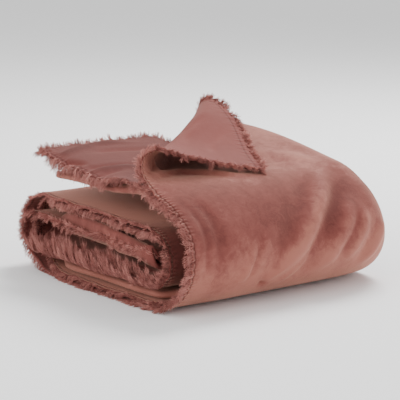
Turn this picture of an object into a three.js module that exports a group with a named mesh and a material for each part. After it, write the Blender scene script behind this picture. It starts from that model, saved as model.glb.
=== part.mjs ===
// A velvet throw with a frayed hem, folded in four along its length and rolled twice into a flat roll.
// The free corner of the outermost layer is turned back over the roll. Sizes are in millimetres.
// Raw frame while building: x runs from the hemmed front edges to the far fold, y from the near side
// to the far side, z up from the floor. Distance along the roll is counted from its free end.

import * as THREE from "three";

// Cloth and its layers
const CLOTH_THICK = 4;
const LAYER_PITCH = 6.2;
const NOSE_SQUEEZE = 0.12;
const LAYERS_BELOW = 3;
const HEM_EDGE = -8;
const NOSE_START = 324;
const NOSE_DEPTH = 20;
const NOSE_SPREAD = { depth: 9, from: 330, full: 440, fade: 620, to: 740 };
const FRONT_LOOP_DEPTH = 5;
const INNER_NOSE_DEPTH = 6;
const INNER_LOOP_EDGE = 4;

// Roll: its free end, its bends from the outside in, and the end at its core
const FREE_END = { y: 318, z: 157 };
const CORE_END = { y: 78, z: 73 };
const BENDS = [
  { side: -1, centre: 88, reach: 85.7, top: 157, bottom: 0 },
  { side: 1, centre: 335, reach: 81, top: 113, bottom: 0 },
  { side: -1, centre: 88, reach: 42, top: 104, bottom: 27.5 },
  { side: 1, centre: 349, reach: 34, top: 86, bottom: 28.5 },
];
const OUTER_TURN_END = 1130;
const BEND_SLACK = 4;
const BEND_RECESS = 13;
const FAR_BEND_RECESS = { depth: 16, from: 670, full: 790, fade: 880, to: 1000 };

// Unevenness of the roll
const TAPER_FROM = 299;
const TAPER_REACH = 51;
const FAR_TAPER = [
  { v: 0, top: 34, side: 17 },
  { v: 600, top: 34, side: 17 },
  { v: 850, top: 12, side: 9 },
  { v: 950, top: 8, side: 7 },
  { v: 1330, top: 8, side: 3 },
  { v: 1630, top: 5, side: 3 },
  { v: 1950, top: 0, side: 0 },
];
const LOW_BULGE = { height: 5, from: 300, full: 360, fade: 400, to: 484 };
const HEM_DRAW = { depth: 10, from: 200, full: 260, fade: 285, to: 345, decay: 40 };
const HEM_HUMP = { height: 7, from: 130, full: 190, fade: 215, to: 250, decay: 60 };
const LAYER_WAVE = { height: 1.2, along: 41, across: 57 };

// Turned corner: the fold line starts on the front edge and runs to the free end
const FOLD_FROM_END = 186;
const FOLD_ANGLE = THREE.MathUtils.degToRad(37);
const FOLD_ROWS = [
  { along: 0, shift: 0, rise: 1, run: 34, power: 1.6, bend: 21, over: 24 },
  { along: 105, shift: 0, rise: 4, run: 60, power: 1.6, bend: 17, over: 15 },
  { along: 210, shift: -9, rise: 25, run: 247, power: 1.25, bend: 21, over: 26 },
  { along: 315, shift: 5, rise: 37, run: 365, power: 1.02, bend: 22, over: -3 },
  { along: 380, shift: 5, rise: 38, run: 221, power: 1.24, bend: 22, over: -3 },
];
const TENT_REACH = 330;

// Free corner of the layer below, lifted and pushed out beyond the roll
const WING = { rise: 22, frontRise: 7, reach: 32, length: 140, blend: 40 };

// Drag folds on the near side: from and to points across and along the cloth
const DRAG_FOLDS = [
  { fromX: 262, fromV: 265, toX: 118, toV: 420, height: 3.5, width: 13 },
  { fromX: 300, fromV: 300, toX: 215, toV: 420, height: 3, width: 12 },
];

// Fringe: combs of locks on a narrow strip, parted from the hem
const PART_GAP = 0.5;
const STRIP_WIDTH = 2;
const LOCK_LENGTH = 6.5;
const LOCK_PITCH = 23;
const LOCK_DROOP = 1.2;

// Mesh density
const OUTER_COLUMNS = 14;
const FOLD_CROWDING = { extra: 1.4, width: 55 };
const INNER_COLUMNS = [12, 24, 170, 240];
const LONGEST_STEP = 100;
const LARGEST_TURN = THREE.MathUtils.degToRad(19);
const FLAP_STEP = 13;
const PATH_STEP = 1;
const NORMAL_SPAN = 4;

function smooth(t) {
  const k = THREE.MathUtils.clamp(t, 0, 1);
  return k * k * (3 - 2 * k);
}

function hill(v, shape) {
  const up = smooth((v - shape.from) / (shape.full - shape.from));
  const down = smooth((shape.to - v) / (shape.to - shape.fade));
  return up * down;
}

function wobble(n) {
  const s = Math.sin(n * 12.9898) * 43758.5453;
  return s - Math.floor(s);
}

// Smooth value of one column of a table of rows
function blendRows(rows, column, key, at) {
  const t = THREE.MathUtils.clamp(at, rows[0][column], rows[rows.length - 1][column]);
  let i = rows.length - 2;
  while (i > 0 && rows[i][column] > t) i -= 1;
  const slope = (k) => (rows[k + 1][key] - rows[k][key]) / (rows[k + 1][column] - rows[k][column]);
  const last = rows.length - 1;
  const tangent = (k) => {
    if (k === 0) return slope(0);
    return k === last ? slope(last - 1) : (slope(k - 1) + slope(k)) / 2;
  };
  const width = rows[i + 1][column] - rows[i][column];
  const s = (t - rows[i][column]) / width;
  return rows[i][key] * (1 + 2 * s) * (1 - s) ** 2
    + tangent(i) * width * s * (1 - s) ** 2
    + rows[i + 1][key] * s * s * (3 - 2 * s)
    + tangent(i + 1) * width * s * s * (s - 1);
}

// Path of the outer layer's middle, seen from the front
function rollPath() {
  const points = [];
  let y = FREE_END.y;
  let z = FREE_END.z;
  const run = (toY, toZ) => {
    const steps = Math.ceil(Math.abs(y - toY) / PATH_STEP);
    for (let k = 0; k < steps; k += 1) {
      const t = k / steps;
      points.push({ y: y + (toY - y) * t, z: z + (toZ - z) * smooth(t) });
    }
    y = toY;
    z = toZ;
  };
  for (const bend of BENDS) {
    const down = bend.side < 0;
    run(bend.centre, down ? bend.top : bend.bottom);
    const middle = (bend.top + bend.bottom) / 2;
    const half = (bend.top - bend.bottom) / 2;
    const steps = Math.ceil(Math.PI * Math.max(bend.reach, half) / PATH_STEP);
    for (let k = 0; k < steps; k += 1) {
      const angle = Math.PI * (0.5 - k / steps) * (down ? 1 : -1);
      const out = Math.abs(Math.cos(angle)) ** 1.08;
      points.push({ y: bend.centre + bend.side * bend.reach * out, z: middle + half * Math.sin(angle) });
    }
    z = down ? bend.bottom : bend.top;
  }
  run(CORE_END.y, CORE_END.z);
  points.push({ ...CORE_END });
  return points;
}

const PATH = rollPath();
const DISTANCES = [0];
for (let k = 1; k < PATH.length; k += 1) {
  DISTANCES.push(DISTANCES[k - 1] + Math.hypot(PATH[k].y - PATH[k - 1].y, PATH[k].z - PATH[k - 1].z));
}
const ROLL_LENGTH = DISTANCES[DISTANCES.length - 1];

function pathPoint(v) {
  const t = THREE.MathUtils.clamp(v, 0, ROLL_LENGTH);
  let low = 0;
  let high = DISTANCES.length - 1;
  while (high - low > 1) {
    const mid = (low + high) >> 1;
    if (DISTANCES[mid] > t) high = mid;
    else low = mid;
  }
  const k = (t - DISTANCES[low]) / (DISTANCES[high] - DISTANCES[low]);
  return { y: PATH[low].y + (PATH[high].y - PATH[low].y) * k, z: PATH[low].z + (PATH[high].z - PATH[low].z) * k };
}

// Point of the path with its outward normal
function pathFrame(v) {
  const at = pathPoint(v);
  const before = pathPoint(v - NORMAL_SPAN);
  const after = pathPoint(v + NORMAL_SPAN);
  const length = Math.hypot(after.y - before.y, after.z - before.z);
  return { y: at.y, z: at.z, ny: (after.z - before.z) / length, nz: -(after.y - before.y) / length };
}

// Height of the roll's top at a given y
function topHeight(y) {
  let k = 0;
  while (PATH[k + 1].y > y && PATH[k + 1].y < PATH[k].y) k += 1;
  const t = THREE.MathUtils.clamp((PATH[k].y - y) / (PATH[k].y - PATH[k + 1].y), 0, 1);
  return PATH[k].z + (PATH[k + 1].z - PATH[k].z) * t;
}

function bendness(frame) {
  return smooth((Math.abs(frame.ny) - 0.3) / 0.6);
}

function layerSlack(v, frame) {
  return BEND_SLACK * bendness(frame) * smooth((OUTER_TURN_END - v) / 60);
}

// Position at x, pushed out from the outer layer's path by depth
function stackPoint(x, depth, v) {
  const f = pathFrame(v);
  const far = THREE.MathUtils.clamp((x - TAPER_FROM) / TAPER_REACH, 0, 1) ** 2;
  const above = Math.max(f.nz, 0);
  const below = Math.max(-f.nz, 0);
  const side = blendRows(FAR_TAPER, "v", "side", v);
  const top = blendRows(FAR_TAPER, "v", "top", v);
  const taper = far * (side * (1 - below) + (top - side) * above);
  const bulge = LOW_BULGE.height * hill(v, LOW_BULGE) * smooth((x - HEM_EDGE) / 90)
    * smooth((NOSE_START + NOSE_DEPTH - x) / 70);
  const draw = HEM_DRAW.depth * hill(v, HEM_DRAW) * Math.exp((HEM_EDGE - x) / HEM_DRAW.decay);
  const hump = HEM_HUMP.height * hill(v, HEM_HUMP) * Math.exp((HEM_EDGE - x) / HEM_HUMP.decay);
  const sway = Math.sin(x / LAYER_WAVE.across + v / LAYER_WAVE.along);
  const wave = LAYER_WAVE.height * sway * (1 - below) * (1 - far);
  const n = depth * (1 - NOSE_SQUEEZE * far) - taper + bulge - draw + hump + wave;
  return new THREE.Vector3(x, f.y + f.ny * n, f.z + f.nz * n);
}

// Place on the fold: distance along the fold line and past it
function foldPlace(x, v) {
  const fromEnd = FOLD_FROM_END - v;
  const along = x * Math.cos(FOLD_ANGLE) + fromEnd * Math.sin(FOLD_ANGLE);
  const past = -x * Math.sin(FOLD_ANGLE) + fromEnd * Math.cos(FOLD_ANGLE);
  return { along, past: past - blendRows(FOLD_ROWS, "along", "shift", along) };
}

// Shift of the outer layer where it rises towards the fold, bends over and lies back
function cornerShift(x, v) {
  const { along, past } = foldPlace(x, v);
  const row = (key) => blendRows(FOLD_ROWS, "along", key, along);
  const rise = row("rise");
  const run = row("run");
  const power = row("power");
  const radius = row("bend");
  const over = THREE.MathUtils.degToRad(row("over"));
  const slope = rise * power / run;
  const lean = Math.atan(slope);
  const arc = past + radius * (Math.PI / 2 - lean);
  const climb = THREE.MathUtils.clamp((arc + run) / run, 0, 1);
  if (climb <= 0) return new THREE.Vector3();
  const loss = run * slope * slope / (2 * (2 * power - 1));
  let up = rise * climb ** power;
  let across = -loss * climb ** (2 * power - 1);
  if (arc > 0) {
    const turn = Math.min(arc / radius, Math.PI - lean + over);
    const rest = arc - radius * turn;
    const angle = lean + turn;
    up += radius * (Math.cos(lean) - Math.cos(angle)) - rest * Math.sin(over);
    across += radius * (Math.sin(angle) - Math.sin(lean)) - rest * Math.cos(over) - arc;
  }
  return new THREE.Vector3(-across * Math.sin(FOLD_ANGLE), across * Math.cos(FOLD_ANGLE), up);
}

function addCornerShift(point, x, v, share) {
  if (v > TENT_REACH) return;
  const shift = cornerShift(x, v);
  const base = stackPoint(x, 0, v);
  const settle = topHeight(base.y + shift.y) - topHeight(base.y);
  const near = smooth((TENT_REACH - v) / 30);
  point.x += shift.x * share;
  point.y += shift.y * share;
  point.z += (shift.z + settle * near) * share;
}

// Raised drag folds of the outer layer on the near side
function dragHeight(x, v) {
  let height = 0;
  for (const fold of DRAG_FOLDS) {
    const dx = fold.toX - fold.fromX;
    const dv = fold.toV - fold.fromV;
    const length = Math.hypot(dx, dv);
    const t = ((x - fold.fromX) * dx + (v - fold.fromV) * dv) / length ** 2;
    const off = ((x - fold.fromX) * dv - (v - fold.fromV) * dx) / length;
    const fade = smooth(4 * t) * smooth(4 * (1 - t));
    height += fold.height * fade * Math.exp(-((off / fold.width) ** 2));
  }
  return height;
}

function frontEdge(layer, v) {
  const bend = bendness(pathFrame(v));
  const ripple = 1.6 * Math.sin(v / 61 + layer) + 1.1 * Math.sin(v / 23 + 2.1 * layer);
  const recess = FAR_BEND_RECESS.depth * hill(v, FAR_BEND_RECESS);
  if (layer === 1) return HEM_EDGE + 0.6 * ripple + recess;
  const straight = layer === 2 ? HEM_EDGE + 3 : INNER_LOOP_EDGE;
  return straight + ripple + recess + BEND_RECESS * bend;
}

// Even fractions across the outer layer, crowded where the fold crosses it
function outerFractions(v) {
  const foldAt = (FOLD_FROM_END - v) / Math.tan(FOLD_ANGLE);
  const samples = 200;
  const sums = [0];
  for (let k = 1; k <= samples; k += 1) {
    const x = HEM_EDGE + (NOSE_START - HEM_EDGE) * (k - 0.5) / samples;
    const crowd = FOLD_CROWDING.extra * Math.exp(-(((x - foldAt) / FOLD_CROWDING.width) ** 2));
    sums.push(sums[k - 1] + 1 + crowd);
  }
  const fractions = [];
  let k = 0;
  for (let c = 0; c < OUTER_COLUMNS; c += 1) {
    const target = sums[samples] * c / (OUTER_COLUMNS - 1);
    while (k < samples - 1 && sums[k + 1] < target) k += 1;
    fractions.push((k + (target - sums[k]) / (sums[k + 1] - sums[k])) / samples);
  }
  return fractions;
}

// The cloth's middle across its quartered width at one station
function sectionAt(v) {
  const frame = pathFrame(v);
  const slack = layerSlack(v, frame);
  const depth = (layer) => (layer === 1 ? 0 : -(layer - 1) * LAYER_PITCH - slack);
  const points = [];
  const edge = frontEdge(1, v);
  for (const fraction of outerFractions(v)) {
    const x = edge + (NOSE_START - edge) * fraction;
    const point = stackPoint(x, dragHeight(x, v), v);
    addCornerShift(point, x, v, 1);
    points.push(point);
  }
  const noseDepth = NOSE_DEPTH + NOSE_SPREAD.depth * hill(v, NOSE_SPREAD);
  for (const t of [0.25, 0.5, 0.75]) {
    const angle = Math.PI * t;
    const level = depth(LAYERS_BELOW + 1) * (1 - Math.cos(angle)) / 2;
    const point = stackPoint(NOSE_START + noseDepth * Math.sin(angle), level, v);
    addCornerShift(point, NOSE_START, v, (1 + Math.cos(angle)) / 2);
    points.push(point);
  }
  const loopEdge = frontEdge(3, v) + FRONT_LOOP_DEPTH;
  const innerRun = [...INNER_COLUMNS.map((inset) => NOSE_START - inset), loopEdge];
  for (const x of [NOSE_START, ...innerRun]) points.push(stackPoint(x, depth(4), v));
  for (const t of [0.3, 0.7]) {
    const level = depth(4) + (depth(3) - depth(4)) * (1 - Math.cos(Math.PI * t)) / 2;
    points.push(stackPoint(loopEdge - FRONT_LOOP_DEPTH * Math.sin(Math.PI * t), level, v));
  }
  for (const x of innerRun.reverse()) points.push(stackPoint(x, depth(3), v));
  for (const t of [0.3, 0.7]) {
    const level = depth(3) + (depth(2) - depth(3)) * (1 - Math.cos(Math.PI * t)) / 2;
    const x = NOSE_START - INNER_COLUMNS[0] + INNER_NOSE_DEPTH * Math.sin(Math.PI * t);
    points.push(stackPoint(x, level, v));
  }
  const lowerEdge = frontEdge(2, v);
  for (const inset of INNER_COLUMNS) points.push(wingPoint(NOSE_START - inset, depth(2), v));
  points.push(wingPoint(lowerEdge, depth(2), v));
  return points;
}

// Second layer, lifted and pushed out where the turned corner lays it bare
function wingPoint(x, depth, v) {
  const point = stackPoint(x, depth, v);
  const { past } = foldPlace(x, v);
  const bare = smooth((past + 5) / WING.blend);
  const nearEnd = smooth((WING.length - v) / WING.length);
  point.z += bare * (WING.frontRise + (WING.rise - WING.frontRise) * nearEnd);
  point.y += bare * WING.reach * nearEnd;
  return point;
}

// Stations along the roll, closer at bends and at the turned corner
function rollStations() {
  const sums = [0];
  for (let k = 1; k < PATH.length; k += 1) {
    const step = DISTANCES[k] - DISTANCES[k - 1];
    const v = DISTANCES[k];
    const a = pathFrame(v - step);
    const b = pathFrame(v);
    const turn = Math.abs(Math.atan2(a.ny * b.nz - a.nz * b.ny, a.ny * b.ny + a.nz * b.nz));
    const flap = 1 - smooth((v - FOLD_FROM_END) / 60);
    sums.push(sums[k - 1] + step / LONGEST_STEP + turn / LARGEST_TURN + flap * step / FLAP_STEP);
  }
  const total = Math.ceil(sums[sums.length - 1]);
  const stations = [];
  let k = 0;
  for (let s = 0; s <= total; s += 1) {
    const target = sums[sums.length - 1] * s / total;
    while (k < sums.length - 2 && sums[k + 1] < target) k += 1;
    const t = (target - sums[k]) / (sums[k + 1] - sums[k]);
    stations.push(DISTANCES[k] + (DISTANCES[k + 1] - DISTANCES[k]) * t);
  }
  return stations;
}

// Closed mesh of vectors and index triples, turned so that its faces point out
function closedGeometry(vertices, triangles) {
  let volume = 0;
  const cross = new THREE.Vector3();
  for (const [a, b, c] of triangles) {
    volume += cross.crossVectors(vertices[b], vertices[c]).dot(vertices[a]);
  }
  const geometry = new THREE.BufferGeometry();
  const positions = vertices.flatMap((p) => [p.x, p.y, p.z]);
  const indices = triangles.flatMap(([a, b, c]) => (volume < 0 ? [a, c, b] : [a, b, c]));
  geometry.setAttribute("position", new THREE.Float32BufferAttribute(positions, 3));
  geometry.setIndex(indices);
  geometry.computeVertexNormals();
  return geometry;
}

function gridNormals(grid) {
  const across = new THREE.Vector3();
  const along = new THREE.Vector3();
  return grid.map((column, i) => column.map((_, j) => {
    const left = grid[Math.max(i - 1, 0)][j];
    const right = grid[Math.min(i + 1, grid.length - 1)][j];
    const before = column[Math.max(j - 1, 0)];
    const after = column[Math.min(j + 1, column.length - 1)];
    across.subVectors(right, left);
    along.subVectors(after, before);
    return new THREE.Vector3().crossVectors(along, across).normalize();
  }));
}

// The throw: one sheet of cloth, its two faces half a thickness either side of its middle
const STATIONS = rollStations();
const SECTIONS = STATIONS.map(sectionAt);
const COLUMNS = SECTIONS[0].length;
const MIDDLE = Array.from({ length: COLUMNS }, (_, i) => SECTIONS.map((section) => section[i]));
const NORMALS = gridNormals(MIDDLE);
const facePoint = (i, j, side) => MIDDLE[i][j].clone().addScaledVector(NORMALS[i][j], side * CLOTH_THICK / 2);

function throwGeometry() {
  const rows = STATIONS.length;
  const vertices = [];
  for (const side of [1, -1]) {
    for (let i = 0; i < COLUMNS; i += 1) {
      for (let j = 0; j < rows; j += 1) vertices.push(facePoint(i, j, side));
    }
  }
  const outer = (i, j) => i * rows + j;
  const inner = (i, j) => (COLUMNS + i) * rows + j;
  const triangles = [];
  // The layers share one diagonal, so that neighbours stay parallel
  const cell = (face, i, j, backward) => {
    const [a, b, c, d] = [face(i, j), face(i + 1, j), face(i, j + 1), face(i + 1, j + 1)];
    return backward ? [[a, b, d], [a, d, c]] : [[a, b, c], [b, d, c]];
  };
  for (let i = 0; i < COLUMNS - 1; i += 1) {
    for (let j = 0; j < rows - 1; j += 1) {
      const backward = i >= OUTER_COLUMNS && MIDDLE[i + 1][j].x < MIDDLE[i][j].x;
      triangles.push(...cell(outer, i, j, backward));
      triangles.push(...cell(inner, i, j, backward).map(([a, b, c]) => [a, c, b]));
    }
  }
  const rim = (a, b, c, d) => triangles.push([a, b, c], [b, d, c]);
  for (let j = 0; j < rows - 1; j += 1) {
    rim(outer(0, j), outer(0, j + 1), inner(0, j), inner(0, j + 1));
    rim(outer(COLUMNS - 1, j + 1), outer(COLUMNS - 1, j), inner(COLUMNS - 1, j + 1), inner(COLUMNS - 1, j));
  }
  for (let i = 0; i < COLUMNS - 1; i += 1) {
    rim(outer(i + 1, 0), outer(i, 0), inner(i + 1, 0), inner(i, 0));
    rim(outer(i, rows - 1), outer(i + 1, rows - 1), inner(i, rows - 1), inner(i + 1, rows - 1));
  }
  return closedGeometry(vertices, triangles);
}

// Rim of the cloth at one grid place: its two corners, outward direction and face normal
function rimPlace(i, j, insideI, insideJ) {
  const out = new THREE.Vector3().subVectors(MIDDLE[i][j], MIDDLE[insideI][insideJ]).normalize();
  return { upper: facePoint(i, j, 1), lower: facePoint(i, j, -1), out, normal: NORMALS[i][j].clone() };
}

function mixPlaces(a, b, t) {
  return {
    upper: a.upper.clone().lerp(b.upper, t),
    lower: a.lower.clone().lerp(b.lower, t),
    out: a.out.clone().lerp(b.out, t).normalize(),
    normal: a.normal.clone().lerp(b.normal, t).normalize(),
  };
}

// Strip along a run of rim places, each step of it ending in a pointed lock
function combGeometry(run, seed) {
  const places = [];
  for (let k = 0; k < run.length - 1; k += 1) {
    const length = run[k].upper.distanceTo(run[k + 1].upper);
    const locks = Math.max(1, Math.round(length / LOCK_PITCH));
    const from = k === 0 ? PART_GAP / length : 0;
    for (let n = 0; n < locks; n += 1) places.push(mixPlaces(run[k], run[k + 1], Math.max(n / locks, from)));
  }
  const last = run.length - 1;
  const lastLength = run[last - 1].upper.distanceTo(run[last].upper);
  places.push(mixPlaces(run[last - 1], run[last], 1 - PART_GAP / lastLength));
  const vertices = [];
  for (const place of places) {
    for (const reach of [PART_GAP, PART_GAP + STRIP_WIDTH]) {
      vertices.push(place.upper.clone().addScaledVector(place.out, reach));
      vertices.push(place.lower.clone().addScaledVector(place.out, reach));
    }
  }
  const triangles = [[0, 1, 2], [1, 3, 2]];
  for (let k = 0; k < places.length - 1; k += 1) {
    const a = 4 * k;
    const b = a + 4;
    triangles.push([a, a + 2, b], [b, a + 2, b + 2]);
    triangles.push([a + 1, b + 1, a + 3], [b + 1, b + 3, a + 3]);
    triangles.push([a, b, a + 1], [b, b + 1, a + 1]);
    const middle = mixPlaces(places[k], places[k + 1], 0.4 + 0.2 * wobble(seed + k));
    const tip = middle.upper.clone().add(middle.lower).multiplyScalar(0.5);
    const length = LOCK_LENGTH * (0.75 + 0.25 * wobble(seed + 7 * k));
    tip.addScaledVector(middle.out, PART_GAP + STRIP_WIDTH + length);
    tip.addScaledVector(middle.normal, LOCK_DROOP);
    vertices.push(tip);
  }
  const tipBase = 4 * places.length;
  for (let k = 0; k < places.length - 1; k += 1) {
    const a = 4 * k;
    const b = a + 4;
    const tip = tipBase + k;
    triangles.push([a + 2, tip, b + 2], [a + 3, b + 3, tip], [a + 2, a + 3, tip], [b + 2, tip, b + 3]);
  }
  const end = 4 * (places.length - 1);
  triangles.push([end, end + 2, end + 1], [end + 1, end + 2, end + 3]);
  return closedGeometry(vertices, triangles);
}

const LAST = COLUMNS - 1;
const FLAP_ROWS = STATIONS.findIndex((v) => v > FOLD_FROM_END + 20);
const outerRim = STATIONS.map((_, j) => rimPlace(0, j, 1, j));
const lowerRim = STATIONS.map((_, j) => rimPlace(LAST, j, LAST - 1, j));
const endRim = MIDDLE.map((_, i) => rimPlace(i, 0, i, 1));
const RUNS = [
  { name: "fringe_flap_front", run: outerRim.slice(0, FLAP_ROWS + 1) },
  { name: "fringe_front_outer", run: outerRim.slice(FLAP_ROWS) },
  { name: "fringe_front_lower", run: lowerRim },
  { name: "fringe_flap_end", run: endRim.slice(0, OUTER_COLUMNS) },
  { name: "fringe_end_lower", run: endRim.slice(OUTER_COLUMNS - 1) },
];

const velvet = new THREE.MeshStandardMaterial({ color: 0xa86a62, roughness: 0.85, metalness: 0 });
const threads = new THREE.MeshStandardMaterial({ color: 0x9c5f5c, roughness: 0.95, metalness: 0 });

const throwRoll = new THREE.Group();
const cloth = new THREE.Mesh(throwGeometry(), velvet);
cloth.name = "throw";
throwRoll.add(cloth);
RUNS.forEach(({ name, run }, k) => {
  const comb = new THREE.Mesh(combGeometry(run, 100 * k + 1), threads);
  comb.name = name;
  throwRoll.add(comb);
});

// The part's origin is the middle of its footprint, on the floor
const box = new THREE.Box3().setFromObject(throwRoll, true);
const centre = box.getCenter(new THREE.Vector3());
throwRoll.position.set(-centre.x, -centre.y, -box.min.z);

export default throwRoll;
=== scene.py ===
import math

import bpy
import numpy as np
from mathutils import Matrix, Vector


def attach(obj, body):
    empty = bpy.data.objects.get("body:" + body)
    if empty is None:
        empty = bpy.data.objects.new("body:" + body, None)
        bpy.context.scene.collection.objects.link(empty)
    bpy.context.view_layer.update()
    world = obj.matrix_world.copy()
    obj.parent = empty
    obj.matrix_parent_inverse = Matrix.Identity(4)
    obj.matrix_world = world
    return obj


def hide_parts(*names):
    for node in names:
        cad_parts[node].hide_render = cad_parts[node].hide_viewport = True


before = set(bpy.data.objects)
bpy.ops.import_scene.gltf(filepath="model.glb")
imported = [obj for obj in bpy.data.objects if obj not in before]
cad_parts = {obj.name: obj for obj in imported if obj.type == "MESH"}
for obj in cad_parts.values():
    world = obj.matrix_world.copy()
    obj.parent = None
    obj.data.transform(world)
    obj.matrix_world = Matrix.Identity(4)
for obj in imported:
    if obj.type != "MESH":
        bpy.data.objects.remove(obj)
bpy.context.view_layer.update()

# Sizes in millimetres, in the frame in which the throw was laid out: x from the hemmed front edges
# to the far fold, y from the near side to the far side, z up. Distance v runs along the roll from
# its free end.
MM = 0.001
FOOTPRINT_CENTRE = np.array([168.491, 205.897, -2.0])

# Cloth and its layers
FLAT_WIDTH = 1400.0
CLOTH_THICK = 3.6
LAYER_PITCH = 6.2
NOSE_SQUEEZE = 0.12
HEM_EDGE = -8.0
NOSE_START = 324.0
NOSE_DEPTH = 20.0
NOSE_SPREAD = dict(depth=9.0, start=330.0, full=440.0, fade=620.0, end=740.0)
FRONT_LOOP_DEPTH = 5.0
INNER_NOSE_DEPTH = 6.0
INNER_NOSE_INSET = 12.0
INNER_LOOP_EDGE = 4.0

# Roll: free end, bends from the outside in, end at the core
FREE_END = (318.0, 157.0)
CORE_END = (78.0, 73.0)
BENDS = [
    dict(side=-1, centre=88.0, reach=85.7, top=157.0, bottom=0.0),
    dict(side=1, centre=335.0, reach=81.0, top=113.0, bottom=0.0),
    dict(side=-1, centre=88.0, reach=42.0, top=104.0, bottom=27.5),
    dict(side=1, centre=349.0, reach=34.0, top=86.0, bottom=28.5),
]
BEND_ROUNDNESS = 1.08
BEND_LEAN_START = 0.3
BEND_LEAN_SPAN = 0.6
OUTER_TURN_END = 1130.0
BEND_SLACK = 4.0
SLACK_FADE = 60.0
BEND_RECESS = 13.0
FAR_BEND_RECESS = dict(depth=16.0, start=670.0, full=790.0, fade=880.0, end=1000.0)

# Unevenness of the roll
TAPER_FROM = 299.0
TAPER_REACH = 51.0
TAPER_AT = [0.0, 600.0, 850.0, 950.0, 1330.0, 1630.0, 1950.0]
TAPER_TOP = [34.0, 34.0, 12.0, 8.0, 8.0, 5.0, 0.0]
TAPER_SIDE = [17.0, 17.0, 9.0, 7.0, 3.0, 3.0, 0.0]
BULGE_FROM_HEM = 90.0
BULGE_TO_NOSE = 70.0
LOW_BULGE = dict(depth=5.0, start=300.0, full=360.0, fade=400.0, end=484.0)
HEM_DRAW = dict(depth=10.0, start=200.0, full=260.0, fade=285.0, end=345.0)
HEM_HUMP = dict(depth=7.0, start=130.0, full=190.0, fade=215.0, end=250.0)
DRAW_DECAY = 40.0
HUMP_DECAY = 60.0
WAVE_HEIGHT = 1.2
WAVE_ALONG = 41.0
WAVE_ACROSS = 57.0

# Turned corner: the fold line starts on the front edge and runs to the free end
FOLD_FROM_END = 186.0
FOLD_ANGLE = math.radians(37.0)
FOLD_ALONG = [0.0, 105.0, 210.0, 315.0, 380.0]
FOLD_SHIFT = [0.0, 0.0, -9.0, 5.0, 5.0]
FOLD_RISE = [1.0, 4.0, 25.0, 37.0, 38.0]
FOLD_RUN = [34.0, 60.0, 247.0, 365.0, 221.0]
FOLD_POWER = [1.6, 1.6, 1.25, 1.02, 1.24]
FOLD_BEND = [21.0, 17.0, 21.0, 22.0, 22.0]
FOLD_OVER = [24.0, 15.0, 26.0, -3.0, -3.0]
TENT_REACH = 330.0
TENT_FADE = 30.0

# Free corner of the layer below, lifted and pushed out beyond the roll
WING_RISE = 22.0
WING_FRONT_RISE = 7.0
WING_REACH = 32.0
WING_LENGTH = 140.0
WING_BLEND = 40.0
WING_OVERLAP = 5.0
SECOND_EDGE_INSET = 3.0

# Slow waver of the front edges, as pairs of height and length, and its shift from layer to layer
EDGE_RIPPLES = [(1.6, 61.0), (1.1, 23.0)]
RIPPLE_SHIFTS = [1.0, 2.1]
OUTER_RIPPLE_SHARE = 0.6


def smooth(t):
    t = np.clip(t, 0.0, 1.0)
    return t * t * (3 - 2 * t)


def hill(v, shape):
    up = smooth((v - shape["start"]) / (shape["full"] - shape["start"]))
    down = smooth((shape["end"] - v) / (shape["end"] - shape["fade"]))
    return shape["depth"] * up * down


def blend_table(at, values, t):
    """Smooth value of a short table at t"""
    at, values = np.array(at), np.array(values)
    t = np.clip(t, at[0], at[-1])
    i = np.clip(np.searchsorted(at, t, side="right") - 1, 0, len(at) - 2)
    slope = np.diff(values) / np.diff(at)
    tangent = np.concatenate([slope[:1], (slope[1:] + slope[:-1]) / 2, slope[-1:]])
    width = at[i + 1] - at[i]
    s = (t - at[i]) / width
    return (values[i] * (1 + 2 * s) * (1 - s) ** 2 + tangent[i] * width * s * (1 - s) ** 2
            + values[i + 1] * s * s * (3 - 2 * s) + tangent[i + 1] * width * s * s * (s - 1))


def roll_path():
    """Middle of the outer layer seen from the front, in steps of a millimetre"""
    points = []
    y, z = FREE_END

    def run(to_y, to_z):
        t = np.arange(math.ceil(abs(y - to_y))) / math.ceil(abs(y - to_y))
        points.append(np.stack([y + (to_y - y) * t, z + (to_z - z) * smooth(t)], -1))

    for bend in BENDS:
        down = bend["side"] < 0
        run(bend["centre"], bend["top"] if down else bend["bottom"])
        middle = (bend["top"] + bend["bottom"]) / 2
        half = (bend["top"] - bend["bottom"]) / 2
        steps = math.ceil(math.pi * max(bend["reach"], half))
        angle = math.pi * (0.5 - np.arange(steps) / steps) * (1 if down else -1)
        out = np.abs(np.cos(angle)) ** BEND_ROUNDNESS
        arc = [bend["centre"] + bend["side"] * bend["reach"] * out, middle + half * np.sin(angle)]
        points.append(np.stack(arc, -1))
        y, z = bend["centre"], bend["bottom"] if down else bend["top"]
    run(*CORE_END)
    points.append(np.array([CORE_END]))
    return np.concatenate(points)


PATH = roll_path()
PATH_AT = np.concatenate([[0.0], np.cumsum(np.linalg.norm(np.diff(PATH, axis=0), axis=1))])
ROLL_LENGTH = PATH_AT[-1]
NORMAL_SPAN = 4.0
TOP_RUN_NEAR_END = 60.0
TOP_RUN = PATH[:np.argmax(PATH[:, 0] < TOP_RUN_NEAR_END)][::-1]


def path_frame(v):
    """Point of the path at v and the outward normal there"""
    def at(t):
        t = np.clip(t, 0.0, ROLL_LENGTH)
        return np.interp(t, PATH_AT, PATH[:, 0]), np.interp(t, PATH_AT, PATH[:, 1])
    y, z = at(v)
    before, after = at(v - NORMAL_SPAN), at(v + NORMAL_SPAN)
    dy, dz = after[0] - before[0], after[1] - before[1]
    length = np.hypot(dy, dz)
    return y, z, dz / length, -dy / length


def top_height(y):
    return np.interp(y, TOP_RUN[:, 0], TOP_RUN[:, 1])


def bendness(v):
    return smooth((np.abs(path_frame(v)[2]) - BEND_LEAN_START) / BEND_LEAN_SPAN)


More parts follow.
